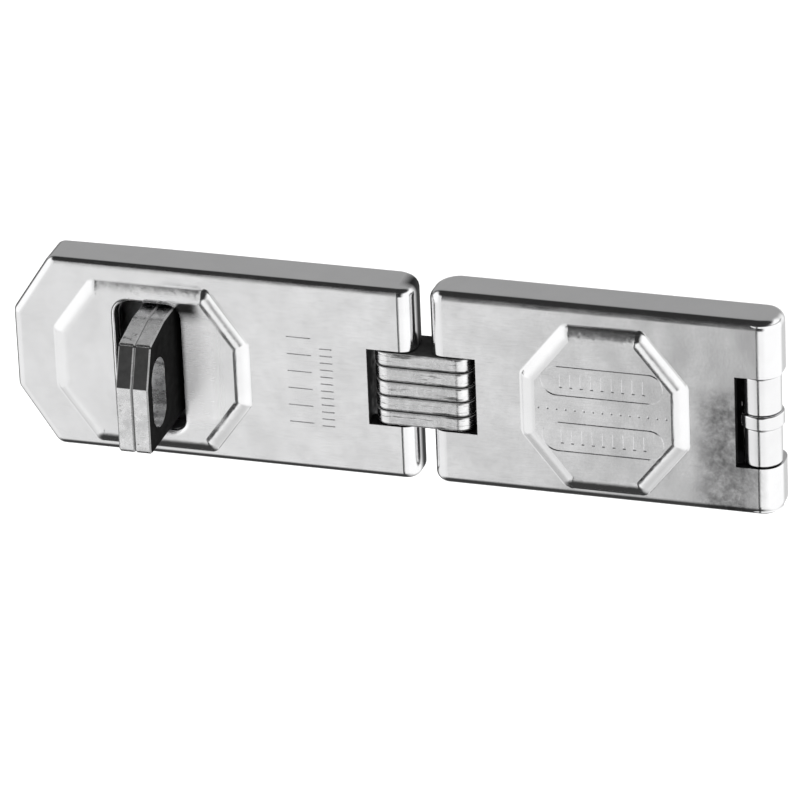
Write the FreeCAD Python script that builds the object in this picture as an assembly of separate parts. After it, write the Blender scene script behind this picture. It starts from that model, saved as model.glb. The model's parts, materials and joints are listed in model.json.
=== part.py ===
import FreeCAD, Part
import math
import os

# A double-jointed security hasp, closed over its staple and fixed flat on a door and frame.
# Frame: X runs along the hasp from the staple end to the base hinge, -Y points out of the
# wall, +Z is up.  The wall is the plane Y = 0, and the origin is the centre of the hinge
# leaf's bolt pattern on that plane.

V = FreeCAD.Vector

# ---- driving dimensions, millimetres ----
overall_length = 195.0
leaf_centre_from_end = 150.0
cover_front = 13.2
wall_gap = 0.3
sheet = 2.4
running = 0.05

left_end = -leaf_centre_from_end
right_end = left_end + overall_length

# staple cover
staple_cover_length = 103.6
staple_cover_top = 25.7
staple_cover_bottom = -25.7
end_chamfer_x = 10.0
end_chamfer_z = 15.2
end_corner_radius = 3.0
inner_corner_radius = 1.0
end_flange_stand_off = 2.6
staple_cover_edge_radius = 2.3

# hinge cover
cover_spacing = 3.9
hinge_cover_top = 26.3
hinge_cover_bottom = -25.9
hinge_cover_edge_radius = 2.9
joint_end_radius = 3.8
joint_end_back_radius = 6.5

# raised octagons
staple_boss_centre = left_end + 36.1
staple_boss_length = 51.4
staple_boss_height = 45.0
staple_boss_centre_z = -1.0
staple_boss_rise = 1.4
staple_boss_slope = 1.9
staple_boss_top_radius = 5.6
staple_boss_chamfer_x = 10.2
staple_boss_chamfer_z = 14.2
hinge_boss_length = 43.0
hinge_boss_height = 45.0
hinge_boss_centre_z = -0.9
hinge_boss_rise = 1.7
hinge_boss_slope = 2.3
hinge_boss_top_radius = 5.2
hinge_boss_chamfer_x = 11.3
hinge_boss_chamfer_z = 14.2
boss_corner_radius = 4.0
boss_foot_radius = 0.9
boss_root_depth = 0.5

# slot for the staple
slot_low_x = left_end + 28.0
slot_high_x = left_end + 44.1
slot_half_height = 17.0
slot_centre_z = -1.0
slot_corner_radius = 3.4
slot_rim_radius = 1.5
liner_back = 8.0
liner_slot_margin = 1.0
liner_flange = 2.2

# link and its pins
link_plates = 5
link_plate_thickness = 3.95
link_centre_z = -1.15
link_half_depth = 6.0
link_corner_radius = 4.0
link_edge_radius = 0.8
link_end_margin = 5.4
pin_radius = 2.5
pin_depth = 7.2
notch_to_pin = 6.6
left_notch_edge = left_end + 91.6
right_notch_edge = left_end + 119.3
link_notch_half_height = 10.2
link_notch_centre_z = -1.0
lug_half_width = 4.2
notch_plate_thickness = 2.4
notch_plate_gap = 0.2
notch_plate_back = 1.0

# base hinge
roll_radius = 5.2
knuckle_radius = 4.85
ring_radius = 5.45
ring_half_width = 1.85
knuckle_gap = 0.1
knuckle_half_height = 11.75
knuckle_edge_radius = 0.35
ring_edge_radius = 0.5
hinge_notch_half_height = 12.05
hinge_centre_z = -0.8
hinge_notch_edge = left_end + 184.3
roll_back_corner_radius = 5.0
pin_end_gap = 0.5
pin_bevel = 0.6

# hinge leaf
leaf_thickness = 3.0
leaf_low_x = -26.0
leaf_high_x = 33.5
leaf_half_height = 20.5
leaf_corner = 3.0
leaf_hole_spacing_x = 32.0
leaf_hole_spacing_z = 26.0
hole_radius = 3.3
countersink_radius = 5.6
strap_thickness = 2.35
crank_start_inset = 3.0
crank_end_inset = 0.6

# staple
web_thickness = 4.1
web_gap = 0.1
staple_high_x = left_end + 42.4
staple_reach = 35.0
staple_top = 15.2
staple_bottom = -14.6
nose_front_top = 2.8
nose_shoulder_y = 4.0
nose_shoulder_z = 13.0
nose_crown_y = 14.7
nose_round = 1.2
eye_centre_y = -26.8
eye_centre_z = -1.3
eye_half_width = 4.8
eye_half_height = 9.1
web_edge_bevel = 0.35
tenon_inner = 5.0
tenon_outer = 12.0
staple_plate_thickness = 3.0
staple_plate_low_x = left_end + 8.0
staple_plate_high_x = left_end + 84.0
staple_plate_half_height = 22.5
staple_plate_corner = 8.0
staple_hole_centre_x = left_end + 42.5
staple_hole_spacing_x = 52.0
staple_hole_spacing_z = 24.0
rivet_radius = 2.0
rivet_depth = 6.4
rivet_half_spacing = 9.0

# pressed motif on the hinge cover's octagon
cartouche_half_length = 15.3
cartouche_half_height = 3.85
cartouche_centre_z = 7.5
groove_width = 0.45
groove_depth = 0.3
rib_count = 9
rib_pitch = 2.6
rib_half_height = 1.9
rib_width = 0.7
band_dot_count = 15
band_dot_pitch = 2.3
band_dot_radius = 0.45

# columns of short bars on the staple cover: centre x, length, width, top z, spacing, count
bar_columns = [
    (left_end + 74.3, 6.2, 0.5, 10.6, 4.6, 6),
    (left_end + 81.2, 3.2, 0.4, 8.0, 1.9, 12),
]

# ---- derived places ----
staple_cover_right = left_end + staple_cover_length
hinge_cover_left = staple_cover_right + cover_spacing
left_pin_x = left_notch_edge + notch_to_pin
right_pin_x = right_notch_edge - notch_to_pin
hinge_pin_x = right_end - roll_radius
hinge_pin_depth = cover_front - roll_radius
hinge_boss_centre = left_end + 151.7
staple_low_x = staple_high_x - 2 * web_thickness - web_gap


def box(x0, x1, y0, y1, z0, z1):
    return Part.makeBox(x1 - x0, y1 - y0, z1 - z0, V(x0, y0, z0))


def cylinder_z(radius, x, y, z0, z1):
    return Part.makeCylinder(radius, z1 - z0, V(x, y, z0), V(0, 0, 1))


def cylinder_y(radius, x, z, y0, y1):
    return Part.makeCylinder(radius, y1 - y0, V(x, y0, z), V(0, 1, 0))


def polygon_face(points):
    return Part.Face(Part.makePolygon(points + [points[0]]))


def front_prism(outline, y0, y1):
    """Extrude an outline of (x, z) points along Y."""
    return polygon_face([V(x, y0, z) for x, z in outline]).extrude(V(0, y1 - y0, 0))


def side_prism(outline, x0, x1):
    """Extrude an outline of (y, z) points along X."""
    return polygon_face([V(x0, y, z) for y, z in outline]).extrude(V(x1 - x0, 0, 0))


def plan_prism(edges, z0, z1):
    """Extrude a closed plan outline, drawn at height z0, up to z1."""
    return Part.Face(Part.Wire(Part.__sortEdges__(edges))).extrude(V(0, 0, z1 - z0))


def line(x0, y0, x1, y1, z):
    return Part.makeLine(V(x0, y0, z), V(x1, y1, z))


def corner_arc(centre_x, centre_y, radius, start_degrees, z):
    """A quarter circle in plan, anticlockwise from start_degrees."""
    places = []
    for turn in (0, 45, 90):
        angle = math.radians(start_degrees + turn)
        places.append(V(centre_x + radius * math.cos(angle), centre_y + radius * math.sin(angle), z))
    return Part.Arc(places[0], places[1], places[2]).toShape()


def fillet_where(solid, radius, wanted):
    """Round every edge whose middle point and direction pass the wanted test."""
    edges = []
    for edge in solid.Edges:
        middle = edge.valueAt((edge.FirstParameter + edge.LastParameter) / 2)
        if wanted(edge, middle):
            edges.append(edge)
    return solid.makeFillet(radius, edges)


def same(a, b, tolerance=1e-4):
    return abs(a - b) < tolerance


def on_either(value, low, high):
    return same(value, low) or same(value, high)


def octagon(centre_x, length, height, chamfer_x, chamfer_z):
    """Corner points of an elongated octagon, in x and z."""
    a = length / 2
    b = height / 2
    return [
        (centre_x - a, -b + chamfer_z),
        (centre_x - a + chamfer_x, -b),
        (centre_x + a - chamfer_x, -b),
        (centre_x + a, -b + chamfer_z),
        (centre_x + a, b - chamfer_z),
        (centre_x + a - chamfer_x, b),
        (centre_x - a + chamfer_x, b),
        (centre_x - a, b - chamfer_z),
    ]


def inset_octagon(centre_x, length, height, chamfer_x, chamfer_z, inset):
    """The same octagon with every side moved in by inset."""
    slant = math.hypot(chamfer_x, chamfer_z)
    grow_x = inset * (slant - chamfer_x) / chamfer_z
    grow_z = inset * (slant - chamfer_z) / chamfer_x
    return octagon(
        centre_x,
        length - 2 * inset,
        height - 2 * inset,
        chamfer_x - inset + grow_x,
        chamfer_z - inset + grow_z,
    )


def frustum(lower, upper, y_lower, y_upper):
    """A solid between two matching outlines of (x, z) points at two depths."""
    wires = []
    for outline, y in ((lower, y_lower), (upper, y_upper)):
        points = [V(x, y, z) for x, z in outline]
        wires.append(Part.makePolygon(points + [points[0]]))
    return Part.makeLoft(wires, True, True)


class Boss:
    """A pressed octagon: its place, outline, rise and the rounding of its plateau."""

    def __init__(self, centre, outline, rise, slope, top_radius):
        self.x, self.z = centre
        self.outline = outline
        self.rise = rise
        self.slope = slope
        self.top_radius = top_radius

    def section(self, inset):
        """The octagon with every side moved in by inset."""
        length, height, chamfer_x, chamfer_z = self.outline
        points = inset_octagon(self.x, length, height, chamfer_x, chamfer_z, inset)
        return [(x, z + self.z) for x, z in points]


def raised_octagon(boss):
    """The pressed octagon outside the sheet, with its corners and edges rounded."""
    foot = -cover_front + boss_root_depth
    plateau = -cover_front - boss.rise
    solid = frustum(boss.section(0.0), boss.section(boss.slope), foot, plateau)
    solid = fillet_where(solid, boss_corner_radius, lambda edge, middle: same(middle.y, (foot + plateau) / 2))
    return fillet_where(solid, boss.top_radius, lambda edge, middle: same(middle.y, plateau))


def add_raised_octagon(shell, boss):
    """Join the octagon to a cover and round the foot where the two meet."""
    half_length = boss.outline[0] / 2
    half_height = boss.outline[1] / 2
    shell = shell.fuse(raised_octagon(boss))
    return fillet_where(
        shell, boss_foot_radius,
        lambda edge, middle: same(middle.y, -cover_front) and abs(middle.x - boss.x) < half_length
        and abs(middle.z - boss.z) < half_height)


def octagon_hollow(boss):
    """The space behind a pressed octagon, one sheet thickness inside it."""
    inset = sheet * 0.75
    return frustum(boss.section(inset), boss.section(inset + boss.slope),
                   -cover_front + sheet + 0.01, -cover_front - boss.rise + sheet)


staple_boss = Boss((staple_boss_centre, staple_boss_centre_z),
                   (staple_boss_length, staple_boss_height, staple_boss_chamfer_x, staple_boss_chamfer_z),
                   staple_boss_rise, staple_boss_slope, staple_boss_top_radius)
hinge_boss = Boss((hinge_boss_centre, hinge_boss_centre_z),
                  (hinge_boss_length, hinge_boss_height, hinge_boss_chamfer_x, hinge_boss_chamfer_z),
                  hinge_boss_rise, hinge_boss_slope, hinge_boss_top_radius)


def rounded_slot(x0, x1, y0, y1):
    solid = box(x0, x1, y0, y1, slot_centre_z - slot_half_height, slot_centre_z + slot_half_height)
    return fillet_where(solid, slot_corner_radius, lambda edge, middle: same(middle.y, (y0 + y1) / 2))


def staple_cover_envelope(inset, edge_radius):
    """The outside of the staple cover, or its hollow when inset by the sheet thickness."""
    x0 = left_end + inset
    x1 = staple_cover_right - inset
    front = -cover_front + inset
    back = 1.0 if inset else -wall_gap
    top = staple_cover_top - inset
    bottom = staple_cover_bottom + inset
    radius = joint_end_radius - inset
    back_radius = joint_end_back_radius - inset
    edges = [
        line(x0, back, x0, front, bottom),
        line(x0, front, x1 - radius, front, bottom),
        corner_arc(x1 - radius, front + radius, radius, -90, bottom),
        line(x1, front + radius, x1, back - back_radius, bottom),
        corner_arc(x1 - back_radius, back - back_radius, back_radius, 0, bottom),
        line(x1 - back_radius, back, x0, back, bottom),
    ]
    solid = plan_prism(edges, bottom, top)
    slant = math.hypot(end_chamfer_x, end_chamfer_z)
    cut_x = end_chamfer_x - inset + inset * (slant - end_chamfer_x) / end_chamfer_z
    cut_z = end_chamfer_z - inset + inset * (slant - end_chamfer_z) / end_chamfer_x
    for side, level in ((1, top), (-1, bottom)):
        corner = [(x0 - 1, level - side * cut_z), (x0, level - side * cut_z),
                  (x0 + cut_x, level), (x0 + cut_x, level + side), (x0 - 1, level + side)]
        solid = solid.cut(front_prism(corner, front - 1, back + 1))
    solid = fillet_where(
        solid, max(end_corner_radius - inset, inner_corner_radius),
        lambda edge, middle: middle.x < x0 + cut_x + 0.1 and same(middle.y, (front + back) / 2))
    if edge_radius:
        solid = fillet_where(
            solid, edge_radius,
            lambda edge, middle: not same(middle.y, back)
            and (same(middle.y, front) and middle.x < x1 - radius
                 or on_either(middle.z, bottom, top) and middle.x > x0 + cut_x + 0.1))
    return solid


def make_pin_lug(pin_x, side, plate_direction, hollow):
    """A bored block welded into a cover's hollow, above or below the link, that holds a link pin.

    It reaches to the notch plate, which lies from the pin in plate_direction along X."""
    start = link_notch_centre_z + side * link_notch_half_height
    z0, z1 = sorted((start, side * overall_length))
    x0, x1 = sorted((pin_x - plate_direction * lug_half_width,
                     pin_x + plate_direction * (notch_to_pin + notch_plate_gap)))
    lug = box(x0, x1, -cover_front, -pin_depth, z0, z1)
    lug = lug.fuse(cylinder_z(lug_half_width, pin_x, -pin_depth, z0, z1))
    lug = lug.common(hollow)
    lug = lug.cut(cylinder_z(pin_radius, pin_x, -pin_depth, z0 - 1, z1 + 1))
    return lug.removeSplitter()


def make_notch_plate(notch_edge, direction, hollow):
    """A plate welded across a cover's hollow, just behind the link's notch."""
    x0, x1 = sorted((notch_edge + direction * notch_plate_gap,
                     notch_edge + direction * (notch_plate_gap + notch_plate_thickness)))
    return box(x0, x1, -cover_front, -notch_plate_back, -overall_length, overall_length).common(hollow)


def link_notch(x0, x1):
    """The opening through a cover that the link lies in."""
    return box(x0, x1, -cover_front - 1, 1, link_notch_centre_z - link_notch_half_height,
               link_notch_centre_z + link_notch_half_height)


def make_staple_cover():
    shell = staple_cover_envelope(0.0, staple_cover_edge_radius)
    shell = add_raised_octagon(shell, staple_boss)
    shell = shell.cut(staple_cover_envelope(sheet, 0.0))
    shell = shell.cut(octagon_hollow(staple_boss))
    wedge = [line(left_end - 1, -wall_gap - end_flange_stand_off, staple_cover_right - 2, -wall_gap, -40),
             line(staple_cover_right - 2, -wall_gap, staple_cover_right - 2, 1, -40),
             line(staple_cover_right - 2, 1, left_end - 1, 1, -40),
             line(left_end - 1, 1, left_end - 1, -wall_gap - end_flange_stand_off, -40)]
    shell = shell.cut(plan_prism(wedge, -40, 40))
    shell = shell.cut(link_notch(left_notch_edge, staple_cover_right + 1))
    shell = shell.cut(rounded_slot(slot_low_x, slot_high_x, -cover_front - staple_boss_rise - 1, 1))
    front = -cover_front - staple_boss_rise
    shell = fillet_where(
        shell, slot_rim_radius,
        lambda edge, middle: same(middle.y, front) and slot_low_x - 0.1 < middle.x < slot_high_x + 0.1
        and abs(middle.z - slot_centre_z) < slot_half_height + 0.1)
    for cutter in pressed_bars(-cover_front):
        shell = shell.cut(cutter)
    return shell.removeSplitter()


def make_slot_liner():
    """The thick plate inside the staple cover that the slot also passes through."""
    inner_face = -cover_front + sheet
    body = front_prism(staple_boss.section(sheet * 0.75 + staple_boss_slope),
                       inner_face - staple_boss_rise, -liner_back)
    body = body.fuse(front_prism(staple_boss.section(liner_flange), inner_face, -liner_back))
    body = body.cut(rounded_slot(slot_low_x - liner_slot_margin, slot_high_x, inner_face - 5, 0))
    return body.removeSplitter()


def hinge_cover_envelope(inset, edge_radius):
    """The outside of the hinge cover, or its hollow when inset by the sheet thickness."""
    x0 = hinge_cover_left + inset
    x1 = right_end - inset
    front = -cover_front + inset
    back = 1.0 if inset else -wall_gap
    top = hinge_cover_top - inset
    bottom = hinge_cover_bottom + inset
    left_radius = joint_end_radius - inset
    left_back_radius = joint_end_back_radius - inset
    roll = roll_radius - inset
    back_radius = roll_back_corner_radius - inset
    edges = [
        line(x0, back - left_back_radius, x0, front + left_radius, bottom),
        corner_arc(x0 + left_radius, front + left_radius, left_radius, 180, bottom),
        line(x0 + left_radius, front, x1 - roll, front, bottom),
        corner_arc(x1 - roll, front + roll, roll, 270, bottom),
        line(x1, front + roll, x1, back - back_radius, bottom),
        corner_arc(x1 - back_radius, back - back_radius, back_radius, 0, bottom),
        line(x1 - back_radius, back, x0 + left_back_radius, back, bottom),
        corner_arc(x0 + left_back_radius, back - left_back_radius, left_back_radius, 90, bottom),
    ]
    solid = plan_prism(edges, bottom, top)
    if edge_radius:
        solid = fillet_where(
            solid, edge_radius,
            lambda edge, middle: on_either(middle.z, bottom, top) and not same(middle.y, back))
    return solid


def stadium_groove(centre_x, centre_z, half_length, half_height, width, depth, surface):
    """A closed groove with round ends, cut into a front face."""
    def stadium(grow):
        half = half_height + grow
        reach = half_length - half_height
        solid = box(centre_x - reach, centre_x + reach, surface - 1, surface + depth,
                    centre_z - half, centre_z + half)
        for side in (-1, 1):
            solid = solid.fuse(cylinder_y(half, centre_x + side * reach, centre_z,
                                          surface - 1, surface + depth))
        return solid
    return stadium(width / 2).cut(stadium(-width / 2))


def groove_box(centre_x, centre_z, half_length, half_height, surface):
    return box(centre_x - half_length, centre_x + half_length, surface - 1, surface + groove_depth,
               centre_z - half_height, centre_z + half_height)


def pressed_motif(surface):
    """Plain cartouches with short ribs, and a row of dots between them."""
    cutters = []
    for side in (-1, 1):
        centre_z = hinge_boss_centre_z + side * cartouche_centre_z
        cutters.append(stadium_groove(hinge_boss_centre, centre_z, cartouche_half_length,
                                      cartouche_half_height, groove_width, groove_depth, surface))
        for rib in range(rib_count):
            x = hinge_boss_centre + (rib - (rib_count - 1) / 2) * rib_pitch
            cutters.append(groove_box(x, centre_z, rib_width / 2, rib_half_height, surface))
    for dot in range(band_dot_count):
        x = hinge_boss_centre + (dot - (band_dot_count - 1) / 2) * band_dot_pitch
        cutters.append(cylinder_y(band_dot_radius, x, hinge_boss_centre_z, surface - 1, surface + groove_depth))
    return cutters


def pressed_bars(surface):
    """Two upright columns of short level bars beside the staple cover's octagon."""
    cutters = []
    for centre_x, length, width, top_z, spacing, count in bar_columns:
        for bar in range(count):
            cutters.append(groove_box(centre_x, top_z - bar * spacing, length / 2, width / 2, surface))
    return cutters


def make_hinge_cover():
    shell = hinge_cover_envelope(0.0, hinge_cover_edge_radius)
    shell = add_raised_octagon(shell, hinge_boss)
    shell = shell.cut(hinge_cover_envelope(sheet, 0.0))
    shell = shell.cut(octagon_hollow(hinge_boss))
    notch_low = hinge_centre_z - hinge_notch_half_height
    notch_high = hinge_centre_z + hinge_notch_half_height
    for z0, z1 in ((hinge_cover_bottom + sheet / 2, notch_low), (notch_high, hinge_cover_top - sheet / 2)):
        shell = shell.fuse(cylinder_z(roll_radius - wall_gap, hinge_pin_x, -hinge_pin_depth, z0, z1))
    shell = shell.cut(link_notch(hinge_cover_left - 1, right_notch_edge))
    shell = shell.cut(box(hinge_notch_edge, right_end + 1, -cover_front - 1, 1, notch_low, notch_high))
    shell = shell.cut(cylinder_z(pin_radius + running, hinge_pin_x, -hinge_pin_depth,
                                 hinge_cover_bottom + sheet, hinge_cover_top - sheet))
    for cutter in pressed_motif(-cover_front - hinge_boss_rise):
        shell = shell.cut(cutter)
    return shell.removeSplitter()


def make_link_plate(index):
    """One of the stacked plates, bored for both link pins."""
    z0 = link_centre_z + (index - link_plates / 2) * link_plate_thickness
    z1 = z0 + link_plate_thickness
    solid = box(left_pin_x - link_end_margin, right_pin_x + link_end_margin,
                -pin_depth - link_half_depth, -pin_depth + link_half_depth, z0, z1)
    solid = fillet_where(solid, link_corner_radius, lambda edge, middle: same(middle.z, (z0 + z1) / 2))
    solid = fillet_where(solid, link_edge_radius, lambda edge, middle: not same(middle.z, (z0 + z1) / 2))
    for x in (left_pin_x, right_pin_x):
        solid = solid.cut(cylinder_z(pin_radius + running, x, -pin_depth, z0 - 1, z1 + 1))
    return solid


def make_pin(x, depth, bottom, top):
    """A plain pin with rounded ends, closed in by the bottom and top of a cover."""
    solid = cylinder_z(pin_radius, x, -depth, bottom + sheet + pin_end_gap, top - sheet - pin_end_gap)
    return fillet_where(solid, pin_bevel, lambda edge, middle: edge.Closed)


def corner_cut_plate(x0, x1, half_height, corner, thickness):
    outline = [(x0 + corner, -half_height), (x1 - corner, -half_height), (x1, -half_height + corner),
               (x1, half_height - corner), (x1 - corner, half_height), (x0 + corner, half_height),
               (x0, half_height - corner), (x0, -half_height + corner)]
    return front_prism(outline, -thickness, 0)


def countersunk_hole(x, z, thickness):
    """A bolt hole whose countersink opens on the front of a plate."""
    depth = countersink_radius - hole_radius
    hole = cylinder_y(hole_radius, x, z, -thickness - 1, 1)
    sink = Part.makeCone(countersink_radius, hole_radius, depth, V(x, -thickness, z), V(0, 1, 0))
    return hole.fuse(sink)


def bolt_places(centre_x, spacing_x, spacing_z):
    return [(centre_x + sx * spacing_x / 2, sz * spacing_z / 2) for sx in (-1, 1) for sz in (-1, 1)]


def make_hinge_leaf():
    """The wall leaf: a flat plate cranked out to two rolled knuckles, with a slot for the ring between."""
    leaf = corner_cut_plate(leaf_low_x, leaf_high_x, leaf_half_height, leaf_corner, leaf_thickness)
    strap_back = -hinge_pin_depth + knuckle_radius
    strap_front = strap_back - strap_thickness
    crank = [(leaf_high_x - crank_start_inset, 0.0), (leaf_high_x - crank_start_inset, -leaf_thickness),
             (leaf_high_x + crank_end_inset, strap_front), (hinge_pin_x, strap_front),
             (hinge_pin_x, strap_back), (leaf_high_x + 2 * crank_end_inset, strap_back), (leaf_high_x, 0.0)]
    low = hinge_centre_z - knuckle_half_height
    high = hinge_centre_z + knuckle_half_height
    leaf = leaf.fuse(polygon_face([V(x, y, low) for x, y in crank]).extrude(V(0, 0, high - low)))
    ring_half_gap = ring_half_width + knuckle_gap
    leaf = leaf.cut(box(hinge_pin_x - ring_radius - wall_gap, right_end, -cover_front, 0,
                        hinge_centre_z - ring_half_gap, hinge_centre_z + ring_half_gap))
    for z0, z1 in ((low, hinge_centre_z - ring_half_gap), (hinge_centre_z + ring_half_gap, high)):
        knuckle = cylinder_z(knuckle_radius, hinge_pin_x, -hinge_pin_depth, z0, z1)
        leaf = leaf.fuse(fillet_where(knuckle, knuckle_edge_radius, lambda edge, middle: edge.Closed))
    leaf = leaf.cut(cylinder_z(pin_radius, hinge_pin_x, -hinge_pin_depth, low - 1, high + 1))
    for x, z in bolt_places(0.0, leaf_hole_spacing_x, leaf_hole_spacing_z):
        leaf = leaf.cut(countersunk_hole(x, z, leaf_thickness))
    return leaf.removeSplitter()


def make_hinge_ring():
    low = hinge_centre_z - ring_half_width
    high = hinge_centre_z + ring_half_width
    ring = cylinder_z(ring_radius, hinge_pin_x, -hinge_pin_depth, low, high)
    ring = fillet_where(ring, ring_edge_radius, lambda edge, middle: edge.Closed)
    return ring.cut(cylinder_z(pin_radius, hinge_pin_x, -hinge_pin_depth, low - 1, high + 1))


def make_staple_plate():
    plate = corner_cut_plate(staple_plate_low_x, staple_plate_high_x, staple_plate_half_height,
                             staple_plate_corner, staple_plate_thickness)
    for side in (-1, 1):
        z0, z1 = sorted((side * tenon_inner, side * tenon_outer))
        plate = plate.cut(box(staple_low_x, staple_high_x, -staple_plate_thickness - 1, 1, z0, z1))
    for x, z in bolt_places(staple_hole_centre_x, staple_hole_spacing_x, staple_hole_spacing_z):
        plate = plate.cut(countersunk_hole(x, z, staple_plate_thickness))
    return plate


def make_staple_web(x0):
    """One upright web of the staple, with its eye and two tenons through the plate."""
    x1 = x0 + web_thickness
    outline = [
        (-staple_plate_thickness, staple_top),
        (-staple_reach + nose_crown_y, staple_top),
        (-staple_reach + nose_shoulder_y, nose_shoulder_z),
        (-staple_reach, nose_front_top),
        (-staple_reach, staple_bottom),
        (-staple_plate_thickness, staple_bottom),
    ]
    web = side_prism(outline, x0, x1)
    web = fillet_where(
        web, nose_round,
        lambda edge, middle: same(middle.x, (x0 + x1) / 2) and middle.y < -staple_plate_thickness - 1)
    web = web.makeChamfer(web_edge_bevel, [
        edge for edge in web.Edges
        if same(edge.BoundBox.XLength, 0.0) and edge.BoundBox.YMin < -staple_plate_thickness - 1])
    reach = eye_half_height - eye_half_width
    eye = box(x0 - 1, x1 + 1, eye_centre_y - eye_half_width, eye_centre_y + eye_half_width,
              eye_centre_z - reach, eye_centre_z + reach)
    for side in (-1, 1):
        eye = eye.fuse(Part.makeCylinder(eye_half_width, web_thickness + 2,
                                         V(x0 - 1, eye_centre_y, eye_centre_z + side * reach), V(1, 0, 0)))
    web = web.cut(eye)
    for side in (-1, 1):
        z0, z1 = sorted((side * tenon_inner, side * tenon_outer))
        web = web.fuse(box(x0, x1, -staple_plate_thickness, 0.0, z0, z1))
        web = web.cut(Part.makeCylinder(rivet_radius, web_thickness + 2,
                                        V(x0 - 1, -rivet_depth, side * rivet_half_spacing), V(1, 0, 0)))
    return web.removeSplitter()


def make_staple_rivets():
    """Two flush cross rivets that hold the webs together, below the cover's slot."""
    rivets = []
    for side in (-1, 1):
        rivets.append(Part.makeCylinder(rivet_radius, staple_high_x - staple_low_x,
                                        V(staple_low_x, -rivet_depth, side * rivet_half_spacing),
                                        V(1, 0, 0)))
    return Part.makeCompound(rivets)


def main():
    os.makedirs("parts", exist_ok=True)
    staple_cover_hollow = staple_cover_envelope(sheet, 0.0)
    hinge_cover_hollow = hinge_cover_envelope(sheet, 0.0)
    nodes = {
        "staple_cover": make_staple_cover(),
        "slot_liner": make_slot_liner(),
        "staple_cover_lug_upper": make_pin_lug(left_pin_x, 1, -1, staple_cover_hollow),
        "staple_cover_lug_lower": make_pin_lug(left_pin_x, -1, -1, staple_cover_hollow),
        "staple_cover_notch_plate": make_notch_plate(left_notch_edge, -1, staple_cover_hollow),
        "staple_cover_pin": make_pin(left_pin_x, pin_depth, staple_cover_bottom, staple_cover_top),
        "hinge_cover": make_hinge_cover(),
        "hinge_cover_lug_upper": make_pin_lug(right_pin_x, 1, 1, hinge_cover_hollow),
        "hinge_cover_lug_lower": make_pin_lug(right_pin_x, -1, 1, hinge_cover_hollow),
        "hinge_cover_notch_plate": make_notch_plate(right_notch_edge, 1, hinge_cover_hollow),
        "hinge_cover_pin": make_pin(right_pin_x, pin_depth, hinge_cover_bottom, hinge_cover_top),
        "base_hinge_pin": make_pin(hinge_pin_x, hinge_pin_depth, hinge_cover_bottom, hinge_cover_top),
        "hinge_leaf": make_hinge_leaf(),
        "hinge_ring": make_hinge_ring(),
        "staple_plate": make_staple_plate(),
        "staple_web_left": make_staple_web(staple_low_x),
        "staple_web_right": make_staple_web(staple_low_x + web_thickness + web_gap),
        "staple_rivets": make_staple_rivets(),
    }
    for index in range(link_plates):
        nodes["link_plate_%d" % (index + 1)] = make_link_plate(index)
    for name, shape in nodes.items():
        shape.exportStep("parts/%s.step" % name)
        print(name, len(shape.Solids), round(shape.Volume, 1), shape.isValid())


main()
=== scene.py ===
import json
import math

import bpy
from mathutils import Matrix, Vector


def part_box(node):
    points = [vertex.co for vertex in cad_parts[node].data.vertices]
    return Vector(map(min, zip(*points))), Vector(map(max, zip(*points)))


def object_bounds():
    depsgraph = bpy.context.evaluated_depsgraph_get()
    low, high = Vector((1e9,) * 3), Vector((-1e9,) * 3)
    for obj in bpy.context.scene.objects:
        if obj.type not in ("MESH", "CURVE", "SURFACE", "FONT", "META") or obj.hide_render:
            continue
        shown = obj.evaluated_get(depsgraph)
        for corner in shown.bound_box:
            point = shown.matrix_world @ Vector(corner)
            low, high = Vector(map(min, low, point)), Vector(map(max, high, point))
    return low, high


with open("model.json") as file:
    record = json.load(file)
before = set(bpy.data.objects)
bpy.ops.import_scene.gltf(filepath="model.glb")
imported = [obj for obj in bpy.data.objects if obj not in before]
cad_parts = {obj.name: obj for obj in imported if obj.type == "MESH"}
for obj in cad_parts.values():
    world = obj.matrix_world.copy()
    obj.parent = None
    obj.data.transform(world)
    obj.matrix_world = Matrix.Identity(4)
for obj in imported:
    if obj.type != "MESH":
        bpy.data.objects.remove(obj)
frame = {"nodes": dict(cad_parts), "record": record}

cad_low, cad_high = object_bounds()
MM = 0.001

# how far in from a cover's outside the painted shade of its hollow starts
WALL_MIDDLE = 1.6 * MM
OUTER_SKIN = 0.3 * MM
JOINT_END_DEPTH = 6.6 * MM
ROLL_DEPTH = 5.4 * MM
# the depth and edge softness of the painted shade on the staple cover's joint-end wall
JOINT_WALL_DEPTH = 10.2 * MM
JOINT_WALL_SOFTNESS = 2.6 * MM

# the staple cover's cut corners, which the painted shade of its hollow stops short of; the margin and blur
# are shares of the corner's size
CORNER_CUT_X = 10.0 * MM
CORNER_CUT_Z = 15.2 * MM
CORNER_MARGIN = 0.19
CORNER_BLUR = 0.05

# the satin patch beside the staple, and how far it reaches from the staple's side
SATIN_BEFORE = 2.0 * MM
SATIN_BEYOND = 13.0 * MM
SATIN_DEPTH = 4.0 * MM
SATIN_BLUR = 3.5 * MM
SATIN_METALLIC = 0.35

# the mottled patch at the base hinge's end of the hinge cover
MOTTLE_FROM_END = 22.0 * MM
MOTTLE_TO_END = 2.5 * MM
MOTTLE_MARGIN = 9.0 * MM
MOTTLE_DEPTH = 14.0 * MM
MOTTLE_TOP = 9.0 * MM
MOTTLE_BLUR = 6.0 * MM

# how far the painted shade on the staple's bevel reaches back from its tip
NOSE_SHADE_DEPTH = 4.3 * MM

# how far each cover's raised octagon stands out from the cover's front
BOSS_RISES = {"staple_cover": 1.4 * MM, "hinge_cover": 1.7 * MM}


# ---------------------------------------------------------------- materials

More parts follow.
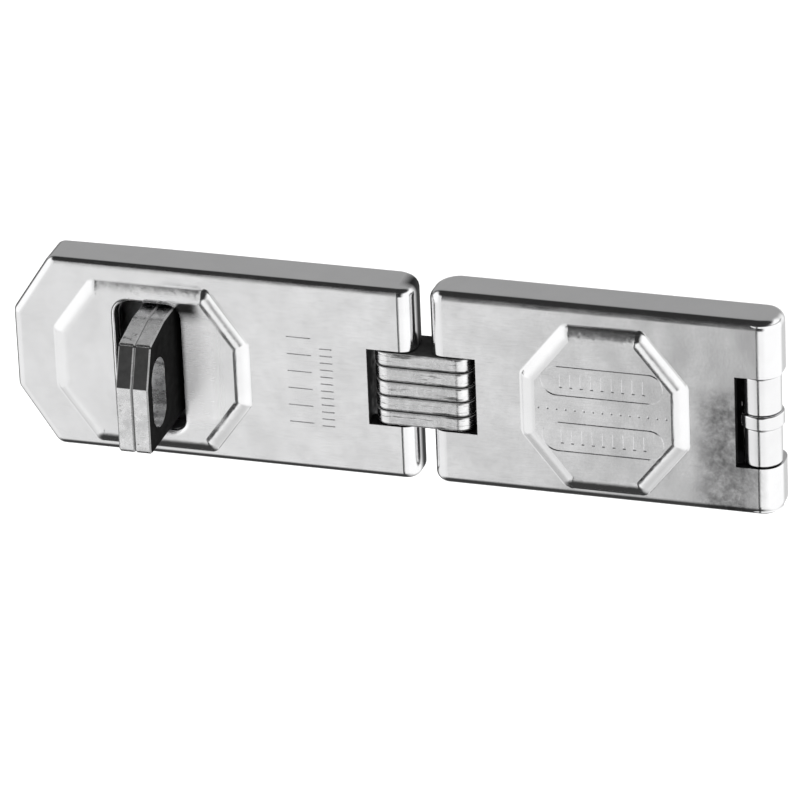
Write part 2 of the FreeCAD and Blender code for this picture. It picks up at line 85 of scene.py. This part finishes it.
class Nodes:
    """A short way to write one material's node tree."""

    def __init__(self, name):
        self.material = bpy.data.materials.new(name)
        self.material.use_nodes = True
        self.tree = self.material.node_tree
        self.shader = self.tree.nodes["Principled BSDF"]
        self.place = self.tree.nodes.new("ShaderNodeTexCoord").outputs["Object"]

    def link(self, source, socket):
        self.tree.links.new(source, socket)

    def axes(self):
        split = self.tree.nodes.new("ShaderNodeSeparateXYZ")
        self.link(self.place, split.inputs["Vector"])
        return [split.outputs[axis] for axis in "XYZ"]

    def scaled(self, x, y, z):
        """Object coordinates stretched by a different amount along each axis."""
        node = self.tree.nodes.new("ShaderNodeMapping")
        node.inputs["Scale"].default_value = (x, y, z)
        self.link(self.place, node.inputs["Vector"])
        return node.outputs["Vector"]

    def noise(self, vector, scale, detail=4.0, roughness=0.55):
        node = self.tree.nodes.new("ShaderNodeTexNoise")
        node.inputs["Scale"].default_value = scale
        node.inputs["Detail"].default_value = detail
        node.inputs["Roughness"].default_value = roughness
        self.link(vector, node.inputs["Vector"])
        return node.outputs["Fac"]

    def spread(self, value, low, high, to_low, to_high):
        node = self.tree.nodes.new("ShaderNodeMapRange")
        node.clamp = True
        for name, number in (("From Min", low), ("From Max", high), ("To Min", to_low), ("To Max", to_high)):
            node.inputs[name].default_value = number
        self.link(value, node.inputs["Value"])
        return node.outputs["Result"]

    def math(self, operation, a, b=0.0):
        node = self.tree.nodes.new("ShaderNodeMath")
        node.operation = operation
        for socket, value in zip(node.inputs, (a, b)):
            if isinstance(value, (int, float)):
                socket.default_value = value
            else:
                self.link(value, socket)
        return node.outputs["Value"]

    def mix(self, factor, first, second):
        """Mix two colours, each given as three numbers or as another node's output."""
        node = self.tree.nodes.new("ShaderNodeMix")
        node.data_type = "RGBA"
        colours = [socket for socket in node.inputs if socket.type == "RGBA"]
        for socket, colour in zip(colours, (first, second)):
            if isinstance(colour, (tuple, list)):
                socket.default_value = (*colour, 1.0)
            else:
                self.link(colour, socket)
        self.link(factor, node.inputs["Factor"])
        return [socket for socket in node.outputs if socket.type == "RGBA"][0]

    def bump(self, height, distance, strength=1.0, below=None):
        node = self.tree.nodes.new("ShaderNodeBump")
        node.inputs["Distance"].default_value = distance
        node.inputs["Strength"].default_value = strength
        self.link(height, node.inputs["Height"])
        if below is not None:
            self.link(below, node.inputs["Normal"])
        return node.outputs["Normal"]

    def inside(self, low, high, blur):
        """One inside the box from low to high in object coordinates, and zero outside it."""
        factor = None
        for value, start, end in zip(self.axes(), low, high):
            above = self.spread(value, start, start + blur, 0.0, 1.0)
            below = self.spread(value, end - blur, end, 1.0, 0.0)
            both = self.math("MULTIPLY", above, below)
            factor = both if factor is None else self.math("MULTIPLY", factor, both)
        return factor

    def behind_cut_corners(self, low, high):
        """Zero in the sheet of a cover's two cut corners and outside them, and one everywhere else.

        The cover fills the box from low to high, and its corners are cut at the low X end."""
        x, _, z = self.axes()
        middle = (low[2] + high[2]) / 2
        along = self.math("DIVIDE", self.math("SUBTRACT", x, low[0]), CORNER_CUT_X)
        from_middle = self.math("ABSOLUTE", self.math("SUBTRACT", z, middle))
        inset = self.math("DIVIDE", self.math("SUBTRACT", high[2] - middle, from_middle), CORNER_CUT_Z)
        start = 1.0 + CORNER_MARGIN
        return self.spread(self.math("ADD", along, inset), start, start + CORNER_BLUR, 0.0, 1.0)


def polished_plating(name, tint, roughness, painted_shade_boxes=(), tarnished=None, worn=None, cut_box=None):
    """Bright plating over polished sheet: soft waves, fine polishing scratches and small specks.

    What lies in one of the painted shade boxes, given with its edge's softness, is painted near black and
    rough as painted shade.
    Those boxes stop short of the two cut corners of the cover that fills the cut box.
    What lies in the tarnished box is mottled, and what lies in the worn box is satin."""
    n = Nodes(name)
    even = n.scaled(1.0, 1.0, 1.0)
    waves = n.noise(even, 48.0, 2.0)
    scratches = n.noise(n.scaled(60.0, 400.0, 900.0), 6.0, 3.0)
    specks = n.noise(even, 1400.0, 2.0)
    smears = n.noise(even, 90.0, 5.0, 0.65)
    rough = n.math("ADD", n.spread(smears, 0.35, 0.7, roughness * 0.85, roughness * 1.3),
                   n.spread(scratches, 0.45, 0.75, 0.0, roughness * 0.4))
    colour = n.mix(n.spread(smears, 0.3, 0.75, 0.0, 1.0), tint, [c * 0.94 for c in tint])
    if tarnished:
        low, high = tarnished
        mottle = n.spread(n.noise(even, 260.0, 6.0, 0.7), 0.38, 0.62, 0.15, 0.75)
        stained = n.math("MULTIPLY", n.inside(low, high, MOTTLE_BLUR), mottle)
        colour = n.mix(stained, colour, (0.10, 0.10, 0.10))
    n.shader.inputs["Metallic"].default_value = 1.0
    if worn:
        low, high = worn
        satin = n.inside(low, high, SATIN_BLUR)
        rough = n.math("ADD", rough, n.math("MULTIPLY", satin, 0.10))
        n.link(n.spread(satin, 0.0, 1.0, 1.0, SATIN_METALLIC), n.shader.inputs["Metallic"])
    # painted shade: the hollow and the joint wall are painted near black and rough where their shade falls
    for low, high, softness in painted_shade_boxes:
        in_painted_shade = n.inside(low, high, softness)
        if cut_box:
            in_painted_shade = n.math("MULTIPLY", in_painted_shade, n.behind_cut_corners(*cut_box))
        rough = n.math("MAXIMUM", rough, n.math("MULTIPLY", in_painted_shade, 0.62))
        colour = n.mix(in_painted_shade, colour, (0.04, 0.04, 0.041))
    n.link(rough, n.shader.inputs["Roughness"])
    n.link(colour, n.shader.inputs["Base Color"])
    soft = n.bump(waves, 0.10 * MM)
    fine = n.bump(specks, 0.003 * MM, 1.0, soft)
    n.link(fine, n.shader.inputs["Normal"])
    return n.material


def sheared_steel(name, tint, roughness, stretch, depth):
    """Plated plate with sheared edges: streaks that run through the plate's thickness."""
    n = Nodes(name)
    n.shader.inputs["Metallic"].default_value = 1.0
    even = n.scaled(1.0, 1.0, 1.0)
    streaks = n.noise(n.scaled(*stretch), 1.0, 6.0, 0.7)
    blotches = n.noise(even, 420.0, 4.0, 0.6)
    n.link(n.spread(streaks, 0.3, 0.7, roughness * 0.6, roughness * 1.5), n.shader.inputs["Roughness"])
    shade = n.math("MULTIPLY", streaks, blotches)
    n.link(n.mix(n.spread(shade, 0.15, 0.36, 0.0, 1.0), [c * 0.72 for c in tint], tint),
           n.shader.inputs["Base Color"])
    n.link(n.bump(blotches, depth, 0.7, n.bump(streaks, depth, 0.8)), n.shader.inputs["Normal"])
    return n.material


def sheared_with_painted_shade(name, bright, dark, roughness, stretch, depth, face_axis, cracks, painted_upward_shade=None):
    """A thick plate: painted shade, dark and not metallic, on the faces along one axis, and brighter
    cracked, sheared edges all round.

    Painted upward shade holds two limits and a depth: ahead of that depth, an edge whose upward lean is
    between the limits gets the painted shade too."""
    n = Nodes(name)
    n.shader.inputs["Specular IOR Level"].default_value = 0.0
    even = n.scaled(1.0, 1.0, 1.0)
    streaks = n.noise(n.scaled(*stretch), 1.0, 6.0, 0.7)
    blotches = n.noise(even, 420.0, 4.0, 0.6)
    facing = n.tree.nodes.new("ShaderNodeTexCoord").outputs["Normal"]
    split = n.tree.nodes.new("ShaderNodeSeparateXYZ")
    n.link(facing, split.inputs["Vector"])
    # painted shade: the faces along one axis, in the grooves between the plates and on the sides, lose their
    # metal and take the dark colour
    shaded_faces = n.spread(n.math("ABSOLUTE", split.outputs[face_axis]), 0.45, 0.85, 0.0, 1.0)
    # painted shade on edges that lean upward, ahead of the given depth
    if painted_upward_shade:
        low, high, deepest = painted_upward_shade
        lean = n.math("MULTIPLY", n.spread(split.outputs["Z"], low, low + 0.06, 0.0, 1.0),
                      n.spread(split.outputs["Z"], high, high + 0.06, 1.0, 0.0))
        ahead = n.spread(n.axes()[1], deepest, deepest + 0.3 * MM, 0.97, 0.0)
        shaded_faces = n.math("MAXIMUM", shaded_faces, n.math("MULTIPLY", lean, ahead))
    n.link(n.math("SUBTRACT", 1.0, shaded_faces), n.shader.inputs["Metallic"])
    plated = n.mix(n.spread(blotches, 0.3, 0.7, 0.0, 1.0), [c * 0.78 for c in bright], bright)
    whole = n.spread(streaks, cracks - 0.05, cracks + 0.03, 0.0, 1.0)
    edge = n.mix(whole, [c * 0.18 for c in bright], plated)
    face = n.mix(n.spread(blotches, 0.3, 0.7, 0.0, 1.0), [c * 0.55 for c in dark], dark)
    n.link(n.mix(shaded_faces, edge, face), n.shader.inputs["Base Color"])
    n.link(n.spread(streaks, 0.3, 0.7, roughness * 0.6, roughness * 1.5), n.shader.inputs["Roughness"])
    n.link(n.bump(blotches, depth, 0.7, n.bump(streaks, depth, 0.8)), n.shader.inputs["Normal"])
    return n.material


def cover_look(node):
    """Plating outside one cover, and painted shade, near black and rough, in its hollow, which starts part
    way through the sheet.

    The hollow's ends keep clear of the cover's rounded ends, and of its cut corners."""
    low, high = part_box(node)
    if node == "staple_cover":
        left_depth, right_depth = WALL_MIDDLE, JOINT_END_DEPTH
    else:
        left_depth, right_depth = JOINT_END_DEPTH, ROLL_DEPTH
    # painted shade in the hollow behind the cover's front
    painted_shade_boxes = [((low[0] + left_depth, low[1] + BOSS_RISES[node] + OUTER_SKIN, low[2] + WALL_MIDDLE),
                   (high[0] - right_depth, high[1] + WALL_MIDDLE, high[2] - WALL_MIDDLE), OUTER_SKIN)]
    tarnished = None
    worn = None
    cut_box = None
    if node == "staple_cover":
        cut_box = (low, high)
        web_low, web_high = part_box("staple_web_right")
        worn = ((web_high[0] - SATIN_BEFORE, low[1] - SATIN_DEPTH, web_low[2] - SATIN_BEFORE),
                (web_high[0] + SATIN_BEYOND, low[1] + SATIN_DEPTH, web_high[2]))
        # painted shade on the joint-end wall, which faces the other cover across the gap
        reach = WALL_MIDDLE + JOINT_WALL_SOFTNESS
        painted_shade_boxes.append(((high[0] - reach, high[1] - JOINT_WALL_DEPTH, low[2] - reach),
                           (high[0] + reach, high[1] + reach, high[2] + reach), JOINT_WALL_SOFTNESS))
    else:
        tarnished = ((high[0] - MOTTLE_FROM_END, low[1] - MOTTLE_MARGIN, low[2] - MOTTLE_MARGIN),
                     (high[0] - MOTTLE_TO_END, low[1] + MOTTLE_DEPTH, MOTTLE_TOP))
    return polished_plating(node + "_look", (0.86, 0.86, 0.865), 0.14, painted_shade_boxes, tarnished, worn,
                            cut_box)


NOSE_SHADE_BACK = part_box("staple_web_left")[0][1] + NOSE_SHADE_DEPTH
SLOT_LOOKS = {
    "leaf_steel": polished_plating("leaf_steel_look", (0.82, 0.82, 0.825), 0.15),
    "pin_steel": polished_plating("pin_steel_look", (0.50, 0.50, 0.51), 0.22),
    "plate_steel": sheared_steel("plate_steel_look", (0.50, 0.50, 0.51), 0.38, (300.0, 300.0, 300.0),
                                 0.04 * MM),
    # the link's and the staple's dark faces are painted shade
    "link_steel": sheared_with_painted_shade("link_steel_look", (0.94, 0.94, 0.945), (0.030, 0.030, 0.030), 0.24,
                                     (90.0, 90.0, 1100.0), 0.045 * MM, "Z", 0.42),
    "staple_steel": sheared_with_painted_shade("staple_steel_look", (0.96, 0.96, 0.965), (0.016, 0.016, 0.016), 0.24,
                                       (240.0, 240.0, 420.0), 0.035 * MM, "X", 0.36,
                                       (0.25, 0.60, NOSE_SHADE_BACK)),
}
# painted shade: the slot liner, the lugs and the notch plates sit in the covers' hollows and notches, and
# are painted near black where their shade falls
painted_shade_plate = sheared_steel("painted_shade_plate_look", (0.030, 0.030, 0.031), 0.55, (300.0, 300.0, 300.0),
                                0.03 * MM)
PAINTED_SHADE_NODES = ("slot_liner",
                   "staple_cover_lug_upper", "staple_cover_lug_lower", "staple_cover_notch_plate",
                   "hinge_cover_lug_upper", "hinge_cover_lug_lower", "hinge_cover_notch_plate")


def look_of(node, slot_name):
    if node in BOSS_RISES:
        return cover_look(node)
    if node in PAINTED_SHADE_NODES:
        return painted_shade_plate
    return SLOT_LOOKS[slot_name]


node_slots = {part["node"]: part["material_slot"] for part in frame["record"]["subparts"]}
for node, thing in frame["nodes"].items():
    look = look_of(node, node_slots[node])
    for slot in thing.material_slots:
        slot.material = look


# ---------------------------------------------------------------- studio

def studio_world():
    """Soft surroundings that depend only on direction, as a tent of pale and dark cards would."""
    world = bpy.data.worlds.new("studio")
    world.use_nodes = True
    bpy.context.scene.world = world
    tree = world.node_tree
    direction = tree.nodes.new("ShaderNodeTexCoord").outputs["Generated"]
    split = tree.nodes.new("ShaderNodeSeparateXYZ")
    tree.links.new(direction, split.inputs["Vector"])
    x, y, z = (split.outputs[axis] for axis in "XYZ")

    def ramp(value, low, high, to_low, to_high):
        node = tree.nodes.new("ShaderNodeMapRange")
        node.interpolation_type = "SMOOTHSTEP"
        for name, number in (("From Min", low), ("From Max", high), ("To Min", to_low), ("To Max", to_high)):
            node.inputs[name].default_value = number
        tree.links.new(value, node.inputs["Value"])
        return node.outputs["Result"]

    def linear(value, low, high, to_low, to_high):
        output = ramp(value, low, high, to_low, to_high)
        output.node.interpolation_type = "LINEAR"
        return output

    def combine(operation, a, b):
        node = tree.nodes.new("ShaderNodeMath")
        node.operation = operation
        tree.links.new(a, node.inputs[0])
        tree.links.new(b, node.inputs[1])
        return node.outputs["Value"]

    def product(a, b):
        return combine("MULTIPLY", a, b)

    def sum_of(a, b):
        return combine("ADD", a, b)

    def blend(factor, a, b):
        node = tree.nodes.new("ShaderNodeMix")
        for socket, value in ((node.inputs["A"], a), (node.inputs["B"], b)):
            if isinstance(value, (int, float)):
                socket.default_value = value
            else:
                tree.links.new(value, socket)
        tree.links.new(factor, node.inputs["Factor"])
        return node.outputs["Result"]

    ahead = ramp(x, -0.32, -0.275, 0.87, 0.95)
    ahead = blend(ramp(x, -0.62, -0.36, 1.0, 0.0), ahead, 0.98)
    ahead = blend(ramp(x, -0.261, -0.205, 0.0, 1.0), ahead, 0.03)
    ahead = blend(ramp(x, -0.075, -0.02, 0.0, 1.0), ahead, 1.1)
    below = blend(ramp(x, -0.05, 0.25, 0.0, 1.0), 0.05, 0.65)
    front = blend(ramp(z, -0.90, -0.64, 0.0, 1.0), below, ahead)
    behind = blend(ramp(x, -0.58, -0.34, 0.0, 1.0), 0.10, 0.70)
    behind = blend(ramp(z, -0.95, -0.60, 0.0, 1.0), below, behind)
    level = blend(ramp(y, 0.10, 0.45, 0.0, 1.0), front, behind)
    overhead = blend(ramp(y, 0.25, 0.50, 0.0, 1.0), 0.03, 0.38)
    lowered = sum_of(z, linear(x, -0.335, -0.255, -0.66, 0.05))
    dark_above = blend(ramp(y, -0.05, 0.20, 0.0, 1.0), ramp(lowered, 0.0, 0.10, 0.0, 1.0),
                       ramp(z, -0.05, 0.15, 0.0, 1.0))
    level = blend(dark_above, level, overhead)
    level = blend(product(ramp(x, 0.25, 0.60, 0.0, 1.0), ramp(z, 0.60, 0.80, 1.0, 0.0)), level, 1.2)
    white_left = product(ramp(x, -0.80, -0.50, 1.0, 0.0), ramp(z, -0.42, -0.24, 0.0, 1.0))
    level = blend(product(white_left, ramp(y, 0.05, 0.30, 1.0, 0.0)), level, 1.2)
    background = tree.nodes["Background"]
    tree.links.new(level, background.inputs["Color"])
    background.inputs["Strength"].default_value = 1.0


def studio_floor():
    """A pale matt floor below the hasp, which hangs on its wall plane above it."""
    mesh = bpy.data.meshes.new("floor")
    half = 4.0
    height = cad_low[2] - 0.12
    corners = [(-half, -half, height), (half, -half, height), (half, half, height), (-half, half, height)]
    mesh.from_pydata(corners, [], [(0, 1, 2, 3)])
    floor = bpy.data.objects.new("floor", mesh)
    bpy.context.collection.objects.link(floor)
    n = Nodes("floor_look")
    mottle = n.noise(n.scaled(1.0, 1.0, 1.0), 2.0, 2.0)
    n.link(n.mix(mottle, (0.96, 0.96, 0.96), (0.98, 0.98, 0.98)), n.shader.inputs["Base Color"])
    n.shader.inputs["Roughness"].default_value = 0.9
    n.shader.inputs["Specular IOR Level"].default_value = 0.0
    mesh.materials.append(n.material)
    floor.visible_glossy = False


def soft_lamp(name, place, target, size, power):
    """A large soft lamp that lights the floor and dull surfaces, and doesn't show in polished ones."""
    light = bpy.data.lights.new(name, "AREA")
    light.shape = "SQUARE"
    light.size = size
    light.energy = power
    lamp = bpy.data.objects.new(name, light)
    bpy.context.collection.objects.link(lamp)
    lamp.location = place
    lamp.rotation_euler = (Vector(target) - Vector(place)).to_track_quat("-Z", "Y").to_euler()
    lamp.visible_glossy = False


def long_lens_camera():
    """A long lens from the upper right of the hasp's front."""
    turn = math.radians(18.12)
    height = math.radians(25.95)
    tilt = math.radians(-2.43)
    distance = 1.7734
    slide_right = -2.33 * MM
    slide_up = 3.60 * MM
    back = Vector((math.sin(turn) * math.cos(height), -math.cos(turn) * math.cos(height), math.sin(height)))
    level = Vector((math.cos(turn), math.sin(turn), 0.0))
    upright = back.cross(level)
    right = level * math.cos(tilt) + upright * math.sin(tilt)
    up = upright * math.cos(tilt) - level * math.sin(tilt)
    staple_cover_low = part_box("staple_cover")[0]
    hinge_cover_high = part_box("hinge_cover")[1]
    cover_front = staple_cover_low[1] + BOSS_RISES["staple_cover"]
    aim = Vector(((staple_cover_low[0] + hinge_cover_high[0]) / 2, cover_front, 0.0))
    data = bpy.data.cameras.new("camera")
    data.sensor_width = 36.0
    data.lens = 327.1
    data.clip_start = 0.1
    data.clip_end = 30.0
    camera = bpy.data.objects.new("camera", data)
    bpy.context.collection.objects.link(camera)
    rotation = Matrix((right, up, back)).transposed()
    place = aim - right * slide_right - up * slide_up + back * distance
    camera.matrix_world = Matrix.Translation(place) @ rotation.to_4x4()
    bpy.context.scene.camera = camera


studio_world()
studio_floor()
soft_lamp("lamp_above", (0.0, -0.3, 1.6), (0.0, 0.0, -0.1), 2.0, 42.0)
long_lens_camera()
bpy.context.scene.view_settings.view_transform = "Standard"
